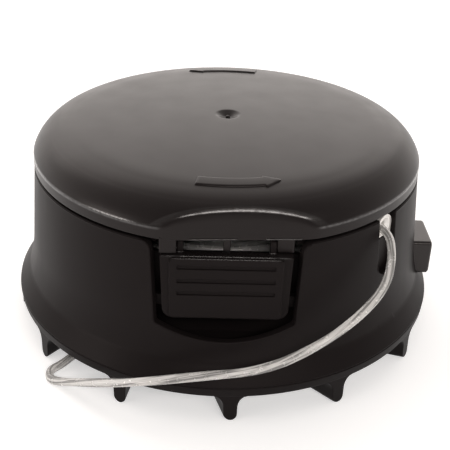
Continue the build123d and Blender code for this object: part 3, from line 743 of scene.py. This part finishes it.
class TRIMMER_HEAD_OT_cap(bpy.types.Operator):
    """Make the domed cap with its flats, ears and arrows"""
    bl_idname = "trimmer_head.cap"
    bl_label = "Cap"

    def execute(self, context):
        sizes = context.scene.trimmer_cap_sizes
        finishes = context.scene.trimmer_head_finishes
        # The cap's plastic carries a painted highlight coat along its crease, flat edges and window lips
        finish = moulded_plastic("cap_plastic", finishes.plastic_tint, finishes.cap_rough, gloss=0.18,
                                 highlight_coat=highlight_coat_cap)
        shape = Shape()
        self.lid(shape, sizes.flat_edge / MM)
        self.underside(shape)
        lid = shape.piece("cap_lid", join=True)
        even_shade(lid)
        settle(lid, finish, "cap_plastic", "cap")
        for name, turn, tail, tip in (("arrow_front", 0.0, -10.7, 18.2), ("arrow_rear", 180.0, -12.8, 17.4)):
            shape = Shape()
            self.arrow(shape, turn, tail, tip, sizes.arrow_height / MM)
            arrow = shape.piece(name, solid=False, sharp=60.0)
            even_shade(arrow)
            settle(arrow, finish, "cap_plastic")
        return {"FINISHED"}

    def raw_top(self, r):
        """Height of the dome and its shoulder, as two plain curves."""
        if r <= SHOULDER_R:
            return CAP_TOP - DOME_DROP * (r / SHOULDER_R) ** 2
        low = CAP_TOP - DOME_DROP
        edge = arc_through((SHOULDER_R, low), (CAP_R - 3.61, CAP_TOP - 2.87), (CAP_R, CREASE_Z), 60)
        for (r0, z0), (r1, z1) in zip(edge, edge[1:]):
            if r <= r1:
                return z0 + (z1 - z0) * (r - r0) / (r1 - r0)
        return CREASE_Z

    def top(self, r):
        """Height of the cap's top, with the dome flowing into the shoulder."""
        reach = min(7.0, max(0.0, 0.8 * (CAP_R - r)))
        if r < 20.0 or reach < 0.05:
            return self.raw_top(r)
        offsets = [k / 6 for k in range(-6, 7)]
        weights = [1 - abs(k) for k in offsets]
        return sum(w * self.raw_top(r + reach * k) for k, w in zip(offsets, weights)) / sum(weights)

    def lid(self, shape, edge):
        """Dome, shoulder, crease and band, with the inside face."""
        profile = [(0.0, CAP_TOP - 0.32), (0.2, CAP_TOP - 0.34), (0.38, CAP_TOP - 0.42), (0.5, CAP_TOP - 0.6),
                   (0.55, CAP_TOP - 0.95), (0.75, CAP_TOP - 0.99)]
        profile += [(r, CAP_TOP - 0.97 + 0.97 * ((r - 0.9) / 2.1) ** 0.9) for r in (1.1, 1.5, 1.9, 2.3, 2.6, 2.8)]
        profile += [(3.05, CAP_TOP - 0.015), (3.4, self.top(3.4))]
        profile += [(r, self.top(r)) for r in (6, 10, 15, 19)]
        fine = FACET_Y - 1.5
        profile += [(20 + 0.5 * k, self.top(20 + 0.5 * k)) for k in range(int(2 * (fine - 20)))]
        profile += [(fine + 0.1 * k, self.top(fine + 0.1 * k)) for k in range(int(10 * (CAP_R - 0.35 - fine)))]
        profile += [(CAP_R - 0.3 + 0.1 * k, self.top(CAP_R - 0.3 + 0.1 * k)) for k in range(2)]
        low = SEAM_Z + 0.6
        profile += eased([profile[-1], (CAP_R, CREASE_Z), (CAP_R, low), (RIM_R - RIM_WALL, low)], 0.32,
                         closed=False)[1:-1]
        outside = len(profile)
        inside = RIM_R - RIM_WALL
        profile += [(inside, low), (inside, CREASE_Z)]
        profile += arc_through((inside, CREASE_Z), (41.5, CAP_TOP - 4.6), (SHOULDER_R, CAP_TOP - 3.44), 6)[1:]
        profile += [(20.0, CAP_TOP - 2.7), (0.0, CAP_TOP - 2.3)]
        rows = []
        steps = 360
        fall = self.edge_falls()
        for i, (r, z) in enumerate(profile):
            if r < 1e-6:
                rows.append([(0.0, 0.0, z)])
                continue
            row = []
            for k in range(steps):
                turn = 360.0 * k / steps
                x, y, _ = around(r, turn - FACET_TURN, z)
                if i < outside and abs(y) > FACET_Y - 2.0:
                    y = (1 if y > 0 else -1) * self.flat(abs(y), abs(x), fall, edge)
                elif i >= outside and abs(y) > FACET_Y - LID_WALL - 3.0:
                    y = (1 if y > 0 else -1) * soft_least(abs(y), FACET_Y - LID_WALL, 1.5)
                a = radians(FACET_TURN)
                row.append((x * cos(a) - y * sin(a), x * sin(a) + y * cos(a), z))
            rows.append(row)
        shape.grid(rows, closed=True)

    def edge_falls(self):
        """How steeply the dome falls toward a flat, at each whole millimetre along the flat's edge."""
        falls = []
        for x in range(19):
            r = min(hypot(x, FACET_Y), CAP_R - 0.3)
            falls.append((self.top(r - 0.2) - self.top(r + 0.2)) / 0.4 * FACET_Y / r)
        return falls

    def flat(self, y, x, fall, edge):
        """Distance out of a point that is cut by a flat, with its two bevelled bands."""
        k = min(int(x), len(fall) - 2)
        slope = fall[k] + (fall[k + 1] - fall[k]) * min(1.0, x - k)
        upper, lower = min(0.95, slope / EDGE_FALL), min(0.6, slope / DROP_FALL)
        start = FACET_Y - edge - FLAT_DROP
        middle = start + edge / upper
        bright = start + upper * (y - start)
        y = soft_least(y, bright, EDGE_BLEND) if y < middle + 1 else bright
        uncut = start + (y - start) / upper if y > start else y
        y = soft_least(y, FACET_Y - FLAT_DROP + lower * (uncut - middle), EDGE_BLEND)
        return soft_least(y, FACET_Y, 0.15)

    def underside(self, shape):
        """Locating rim, boss ring, hinge ears and centre ribs."""
        low = SEAM_Z - 1.4
        gap = degrees(asin(14.8 / RIM_R))
        slot = degrees(asin(5.2 / RIM_R))
        section = [(RIM_R, low), (RIM_R, SEAM_Z + 0.8), (RIM_R - RIM_WALL, SEAM_Z + 0.8), (RIM_R - RIM_WALL, low)]
        for start, end in ((gap, EYELET_TURN - slot), (EYELET_TURN + slot, 180 - gap), (180 + gap, 360 - gap)):
            shape.arc_bar(section, start, end)
        shape.lathe([(12.0, CAP_TOP - 2.0), (14.0, CAP_TOP - 2.0), (14.0, SEAM_Z + 2.65), (12.0, SEAM_Z + 2.65)], 90)
        for turn in (0.0, 180.0):
            for side in (-1, 1):
                x0, x1 = sorted((side * 10.4, side * 14.0))
                front = -FACET_Y + 0.64 * side
                shape.block((x0, front, SEAM_Z - 2.5), (x1, -FACET_Y + LID_WALL, SEAM_Z + 1.2), 0.22, turn)
            for x0, x1 in ((-10.3, -0.4), (5.4, 13.0)):
                shape.block((x0, -FACET_Y - 0.22, SEAM_Z + 0.6), (x1, -FACET_Y + 0.6, SEAM_Z + 0.98), 0.17,
                            turn + FACET_TURN)
            shape.block((-0.75, -FACET_Y + 0.3, SEAM_Z - 2.2), (0.75, -FACET_Y + 0.7, SEAM_Z + 1.2), 0.15, turn)

    def arrow(self, shape, turn, tail, tip, height):
        """Raised curved arrow on the dome, with soft edges."""
        mid = CAP_R - 11.0
        across = (-1.0, -0.97, -0.84, -0.7, 0.0, 0.7, 0.84, 0.97, 1.0)
        lift = (-0.25, 0.45, 0.92, 1.0, 1.0, 1.0, 0.92, 0.45, -0.25)
        neck = tip - 6.0
        stations = [(tail, 1.7, 0.0), (tail + 0.05, 1.7, 0.6), (tail + 0.3, 1.7, 1.0)]
        stations += [(tail + 0.3 + (neck - tail - 0.5) * k / 22, 1.7, 1.0) for k in range(1, 23)]
        stations += [(neck, 2.3, 1.0)]
        stations += [(neck + 6.0 * k / 9, 2.3 * (1 - k / 9), 1.0 if k < 8 else 0.8) for k in range(1, 9)]
        stations += [(tip, 0.06, -0.2)]
        rows = []
        for where, half, rise in stations:
            row = []
            for a, up in zip(across, lift):
                r = mid - a * half
                row.append(around(r, turn + where, self.top(r) + height * min(up, rise)))
            rows.append(row)
        shape.grid([list(column) for column in zip(*rows)])


class TRIMMER_HEAD_OT_drum(bpy.types.Operator):
    """Make the drum's wall, floor, pockets and side lug"""
    bl_idname = "trimmer_head.drum"
    bl_label = "Drum"

    def execute(self, context):
        sizes = context.scene.trimmer_drum_sizes
        finishes = context.scene.trimmer_head_finishes
        finish = moulded_plastic("drum_plastic", finishes.plastic_tint, finishes.drum_rough, gloss=0.07)
        shape = Shape()
        self.wall(shape)
        wall = shape.piece("drum_wall", join=True, solid=False, sharp=60.0)
        shell = wall.modifiers.new("Wall", "SOLIDIFY")
        shell.thickness = sizes.wall
        shell.offset = -1.0
        shell.use_even_offset = True
        round_edges(wall, sizes.edge_rounding, angle=50.0, weld=False)
        settle(wall, finish, "drum_plastic", "housing")
        shape = Shape()
        self.inside(shape)
        inside = shape.piece("drum_inside")
        even_shade(inside)
        settle(inside, finish, "drum_plastic")
        shape = Shape()
        self.lug(shape)
        lug = shape.piece("side_lug")
        even_shade(lug)
        # Painted highlight: the lug is the same moulding as the drum, but a glossier, smoother copy of its plastic
        # makes its face and top edge catch more light
        lit_copy = moulded_plastic("lug_plastic", finishes.plastic_tint, finishes.cap_rough, gloss=0.42)
        settle(lug, lit_copy, "drum_plastic")
        return {"FINISHED"}

    def radius(self, z):
        """Outside radius of the wall at a height."""
        if z >= WALL_LOW_Z:
            return CAP_R + 1.5 * (SEAM_Z - z) / (SEAM_Z - WALL_LOW_Z)
        if z >= FLARE_Z:
            return FLARE_CENTRE[0] - sqrt(FLARE_ARC**2 - (z - FLARE_CENTRE[1]) ** 2)
        return FLARE_R + (SKIRT_R - FLARE_R) * (FLARE_Z - z) / (FLARE_Z - SKIRT_LOW)

    def half_width(self, cut, z):
        """Half width of an opening in the wall at a height."""
        if cut == "slot":
            return SLOT_HALF
        round_z = SEAM_Z - NOTCH_ROUND
        if z <= NOTCH_CORNER:
            return NOTCH_HALF - 0.7
        if z <= round_z:
            return NOTCH_HALF - 0.7 * (round_z - z) / (round_z - NOTCH_CORNER)
        return NOTCH_HALF + NOTCH_ROUND - sqrt(max(0.0, NOTCH_ROUND**2 - (z - round_z) ** 2))

    def wall(self, shape):
        """One sheet round the drum, open at both notches and at the eyelet's slot."""
        marks = (SEAM_Z, SEAM_Z - NOTCH_ROUND, SLOT_CORNER, NOTCH_CORNER, FLARE_Z + 0.6, FLARE_Z, FLARE_Z - 0.6,
                 SKIRT_LOW)
        counts = (9, 9, 8, 9, 1, 1, 5)
        heights = [SEAM_Z]
        for top, low, count in zip(marks, marks[1:], counts):
            heights += [top + (low - top) * k / count for k in range(1, count + 1)]
        cuts = ((0.0, "notch"), (EYELET_TURN, "slot"), (180.0, "notch"), (360.0, "notch"))
        for (t0, cut0), (t1, cut1) in zip(cuts, cuts[1:]):
            columns = int((t1 - t0) / 1.1)
            rows = []
            for z in heights:
                r = self.radius(z)
                start = t0 + degrees(asin(self.half_width(cut0, z) / r))
                end = t1 - degrees(asin(self.half_width(cut1, z) / r))
                rows.append([around(r, start + (end - start) * k / columns, z) for k in range(columns + 1)])
            shape.grid(rows)
        for turn, cut in cuts[:3]:
            corner = SLOT_CORNER if cut == "slot" else NOTCH_CORNER
            half = self.half_width(cut, corner)
            columns = 16 if cut == "slot" else 30
            rows = []
            for z in [h for h in heights if h <= corner + 1e-9]:
                row = []
                for k in range(columns + 1):
                    x = -half * cos(pi * k / columns) if cut == "slot" else half * (2 * k / columns - 1)
                    if cut == "slot":
                        low = corner - sqrt(max(0.0, half * half - x * x))
                    else:
                        low = corner - NOTCH_DEPTH + NOTCH_ARC - sqrt(NOTCH_ARC**2 - x * x)
                    here = low + (z - corner) * (low - SKIRT_LOW) / (corner - SKIRT_LOW)
                    r = self.radius(here)
                    row.append(around(r, turn + degrees(asin(x / r)), here))
                rows.append(row)
            shape.grid(rows)
        shape.faces = [face for face in shape.faces if not all(self.in_lug(shape.verts[i]) for i in face)]

    def in_lug(self, point):
        """True behind the side lug, where the wall is open."""
        x, y, z = point
        return x > 40 and LUG_Y[0] + 0.6 < y < LUG_Y[1] - 0.6 and LUG_Z[0] + 0.9 < z < LUG_Z[1] - 0.7

    def inside(self, shape):
        """Floor with hub and spindle, latch pockets and catches, and slot floor."""
        shape.lathe(eased([(6.5, 26.5), (6.5, 41.5), (9.0, 41.5), (9.0, 18.4), (14.0, 18.4), (14.0, 13.4), (46.4, 13.4),
                           (49.3, 10.9), (10.5, 10.9), (10.5, 5.0), (7.0, 5.0), (7.0, 26.0)], 0.25, 2), 120)
        shape.lathe([(0.0, 26.5), (6.7, 26.5), (6.7, 24.0), (0.0, 24.0)], 60, closed=False)
        ledge = [(CAP_R - 1.9, SEAM_Z - 1.5), (CAP_R - 1.9, SEAM_Z - 4.6), (CAP_R - 3.6, SEAM_Z - 3.2),
                 (CAP_R - 3.6, SEAM_Z - 1.5)]
        for start, end in ((22.5, 43.5), (54.5, 157.5), (202.5, 337.5)):
            shape.arc_bar(ledge, start, end)
        for turn in (0.0, 180.0):
            shape.block((-19.1, -38.3, 13.2), (19.1, -37.2, SEAM_Z - 5.9), 0.3, turn)
            for side in (-1, 1):
                x0, x1 = sorted((side * 18.0, side * 19.1))
                shape.block((x0, -42.5, 13.2), (x1, -37.2, SEAM_Z - 4.9), 0.3, turn)
                x0, x1 = sorted((side * 15.9, side * 18.6))
                shape.block((x0, -44.1, 25.8), (x1, -40.9, 28.5), 0.25, turn)
        out = CAP_R - 0.7
        shape.block((-3.7, -out, SEAM_Z - 15.2), (3.7, -out + 1.6, SEAM_Z - 5.4), 0.3, EYELET_TURN)

    def lug(self, shape):
        """Hollow side lug, open into the drum so that the feed lever can swing out."""
        def loop(x, inset, corner):
            y0, y1, z0, z1 = LUG_Y[0] + inset, LUG_Y[1] - inset, LUG_Z[0] + inset, LUG_Z[1] - inset
            points = []
            for cy, cz, start in ((y1 - corner, z1 - corner, 0), (y0 + corner, z1 - corner, 90),
                                  (y0 + corner, z0 + corner, 180), (y1 - corner, z0 + corner, 270)):
                for k in range(6):
                    a = radians(start + 18 * k)
                    points.append((x, cy + corner * cos(a), cz + corner * sin(a)))
            return points
        back = SIDE_X - 5.7
        loops = [loop(SIDE_X - LUG_WALL, LUG_WALL, 0.3), loop(back, LUG_WALL, 0.3), loop(back, 0.0, LUG_CORNER)]
        for k in range(7):
            a = radians(15 * k)
            loops.append(loop(SIDE_X - LUG_EDGE * (1 - sin(a)), LUG_EDGE * (1 - cos(a)), LUG_CORNER))
        shape.tube(loops)


class TRIMMER_HEAD_OT_fan(bpy.types.Operator):
    """Make the fan wheel with its swept blades"""
    bl_idname = "trimmer_head.fan"
    bl_label = "Fan"

    def execute(self, context):
        sizes = context.scene.trimmer_drum_sizes
        finishes = context.scene.trimmer_head_finishes
        shape = Shape()
        shape.lathe(eased([(10.7, 10.85), (49.2, 10.85), (49.2, 8.55), (SKIRT_R, 8.55), (SKIRT_R - 0.2, 6.25),
                           (48.2, 6.25), (48.2, 8.4), (13.0, 8.4), (13.0, 6.0), (10.7, 6.0)], 0.35, 3), 240)
        for k in range(sizes.blades):
            self.blade(shape, 360.0 * k / sizes.blades)
        self.screw_seats(shape)
        fan = shape.piece("fan_wheel", sharp=40.0)
        even_shade(fan)
        # Painted shade: the fan is the same plastic at 0.8 of its colour, darker to stand in for the shade low down
        # under the drum
        shaded_tint = tuple(0.8 * c for c in finishes.plastic_tint)
        finish = moulded_plastic("fan_plastic", shaded_tint, finishes.drum_rough + 0.03, gloss=0.09)
        settle(fan, finish, "fan_plastic", "fan")
        return {"FINISHED"}

    def half(self, z, flare):
        """Half thickness of a blade at a height, wider where it meets the lip."""
        thick = BLADE_HALF + z * BLADE_DRAFT
        if z < BLADE_ROUND:
            thick = 0.02 + sqrt(max(0.0, BLADE_ROUND**2 - (BLADE_ROUND - z) ** 2)) + z * BLADE_DRAFT
        if flare and z > FILLET_Z:
            rise = min(1.0, (z - FILLET_Z) / FILLET_HEIGHT)
            thick += FILLET_WIDTH * (1 - sqrt(max(0.0, 1 - rise * rise)))
        return thick

    def blade(self, shape, turn):
        """One blade from its tip in to the collar."""
        tip = SKIRT_R - 0.04
        sx, sy, _ = around(tip + 3.0, BLADE_PHASE + turn, 0.0)
        a = radians(90 + BLADE_PHASE + turn + BLADE_SWEEP)
        dx, dy = cos(a), sin(a)
        levels = (8.5, 7.0, 6.35, 6.25, 6.1, 5.8, 5.4, 4.9, 4.3, 3.6, 2.2, 1.4, 1.0, 0.68, 0.42, 0.22, 0.09, 0.02, 0.0)
        loops = []
        for inset, flare, squeeze in ((0.0, True, 0.86), (0.1, True, 0.96), (0.3, True, 1.0), (2.2, True, 1.0),
                                      (3.2, False, 1.0), (12.0, False, 1.0), (24.0, False, 1.0), (40.2, False, 1.0)):
            loop = []
            for side, order in ((-1, levels), (1, levels[::-1])):
                for z in order:
                    w = side * self.half(z, flare) * squeeze
                    r = tip - 0.16 * min(1.0, z / 6.25) - inset
                    x, y = sx - w * dy, sy + w * dx
                    along = x * dx + y * dy
                    s = -along - sqrt(max(0.0, along * along - x * x - y * y + r * r))
                    loop.append((x + s * dx, y + s * dy, z))
            loops.append(loop)
        shape.tube(loops)

    def screw_seats(self, shape):
        """Raised ring round each screw's head."""
        for name in ("fan_screw_1", "fan_screw_2", "fan_screw_3"):
            low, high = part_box(name)
            x, y = (low[0] + high[0]) / 2 / MM, (low[1] + high[1]) / 2 / MM
            ring = Shape()
            ring.lathe(eased([(3.2, 8.6), (3.6, 8.6), (3.6, 5.9), (3.2, 5.9)], 0.15, 2), 40)
            shape.add([(px + x, py + y, pz) for px, py, pz in ring.verts], ring.faces)


class TRIMMER_HEAD_OT_latches(bpy.types.Operator):
    """Finish the press tabs and the mouldings inside the drum"""
    bl_idname = "trimmer_head.latches"
    bl_label = "Latches and inner mouldings"

    def execute(self, context):
        finishes = context.scene.trimmer_head_finishes
        nodes = frame["nodes"]
        for name, slot in (("latch_tab_front", "tab_plastic"), ("latch_tab_rear", "tab_plastic"),
                           ("spool", "spool_plastic"), ("feed_lever", "lever_plastic")):
            tab = slot == "tab_plastic"
            # The press tabs' plastic carries a painted highlight coat along their top edges
            dress(nodes[name], moulded_plastic(slot, finishes.plastic_tint, finishes.drum_rough, gloss=0.07,
                                               highlight_coat=highlight_coat_tab if tab else None))
            if tab:
                round_edges(nodes[name], TAB_ROUNDING)
        return {"FINISHED"}


class TRIMMER_HEAD_OT_metal(bpy.types.Operator):
    """Finish the metal pieces and the wound line"""
    bl_idname = "trimmer_head.metal"
    bl_label = "Metal pieces and winding"

    def execute(self, context):
        nodes = frame["nodes"]
        finishes = context.scene.trimmer_head_finishes
        for names, slot, tint, rough in (
                (("shaft_bushing",), "bush_steel", (0.60, 0.59, 0.57), 0.32),
                (("fan_screw_1", "fan_screw_2", "fan_screw_3"), "screw_steel", (0.55, 0.54, 0.52), 0.34),
                (("latch_spring_front", "latch_spring_rear", "lever_spring"), "spring_steel",
                 (0.11, 0.11, 0.115), 0.38),
                (("thrust_washer", "spring_washer", "lever_clip", "lever_pivot_pin"), "washer_steel",
                 (0.60, 0.60, 0.58), 0.30),
                (("lever_weight",), "weight_steel", (0.5, 0.5, 0.5), 0.35)):
            for name in names:
                dress(nodes[name], bare_metal(slot, tint, rough))
        zinc = bare_metal("eyelet_metal", (0.95, 0.93, 0.90), 0.36, bare=0.4)
        dress(nodes["eyelet"], zinc)
        lining = Shape()
        self.lining(lining)
        piece = lining.piece("eyelet_lining")
        even_shade(piece)
        settle(piece, zinc, "eyelet_metal")
        dress(nodes["line_winding"], clear_nylon("winding_nylon", finishes.line_tint, clear=0.25, dim=0.4))
        return {"FINISHED"}

    def lining(self, shape):
        """Bush in the eyelet's hole, dished toward the line."""
        ring = Shape()
        ring.lathe(eased([(0.9, 44.4), (1.15, 45.5), (1.75, 45.95), (1.85, 45.95), (1.85, 44.4)], 0.12, 2), 48)
        placed = []
        for x, y, out in ring.verts:
            a = radians(EYELET_TURN)
            placed.append((x * cos(a) + out * sin(a), x * sin(a) - out * cos(a), EYELET_HOLE_Z + y))
        shape.add(placed, ring.faces)


class TRIMMER_HEAD_PT_sidebar(bpy.types.Panel):
    """Buttons and sizes of the trimmer head"""
    bl_idname = "TRIMMER_HEAD_PT_sidebar"
    bl_label = "Trimmer head"
    bl_space_type = "VIEW_3D"
    bl_region_type = "UI"
    bl_category = "Trimmer head"

    def draw(self, context):
        layout = self.layout
        for operator in OPERATORS:
            layout.operator(operator.bl_idname)
        for name, _ in GROUPS:
            group = getattr(context.scene, name)
            box = layout.box()
            for key in group.bl_rna.properties.keys():
                if key not in ("rna_type", "name"):
                    box.prop(group, key)


GROUPS = (
    ("trimmer_head_finishes", TrimmerHeadFinishes),
    ("trimmer_cap_sizes", TrimmerCapSizes),
    ("trimmer_drum_sizes", TrimmerDrumSizes),
    ("trimmer_line_sizes", TrimmerLineSizes),
    ("trimmer_head_stage", TrimmerHeadStage),
)
OPERATORS = (
    TRIMMER_HEAD_OT_stage,
    TRIMMER_HEAD_OT_line,
    TRIMMER_HEAD_OT_cap,
    TRIMMER_HEAD_OT_drum,
    TRIMMER_HEAD_OT_fan,
    TRIMMER_HEAD_OT_latches,
    TRIMMER_HEAD_OT_metal,
)


def register():
    """Register the settings, operators and panel."""
    for name, group in GROUPS:
        bpy.utils.register_class(group)
        setattr(bpy.types.Scene, name, bpy.props.PointerProperty(type=group))
    for operator in OPERATORS:
        bpy.utils.register_class(operator)
    bpy.utils.register_class(TRIMMER_HEAD_PT_sidebar)


def unregister():
    """Remove the settings, operators and panel."""
    bpy.utils.unregister_class(TRIMMER_HEAD_PT_sidebar)
    for operator in reversed(OPERATORS):
        bpy.utils.unregister_class(operator)
    for name, group in reversed(GROUPS):
        delattr(bpy.types.Scene, name)
        bpy.utils.unregister_class(group)


def main():
    """Build every piece."""
    register()
    bpy.ops.trimmer_head.stage()
    bpy.ops.trimmer_head.line()
    bpy.ops.trimmer_head.cap()
    bpy.ops.trimmer_head.drum()
    bpy.ops.trimmer_head.fan()
    bpy.ops.trimmer_head.latches()
    bpy.ops.trimmer_head.metal()


if __name__ == "__main__":
    main()
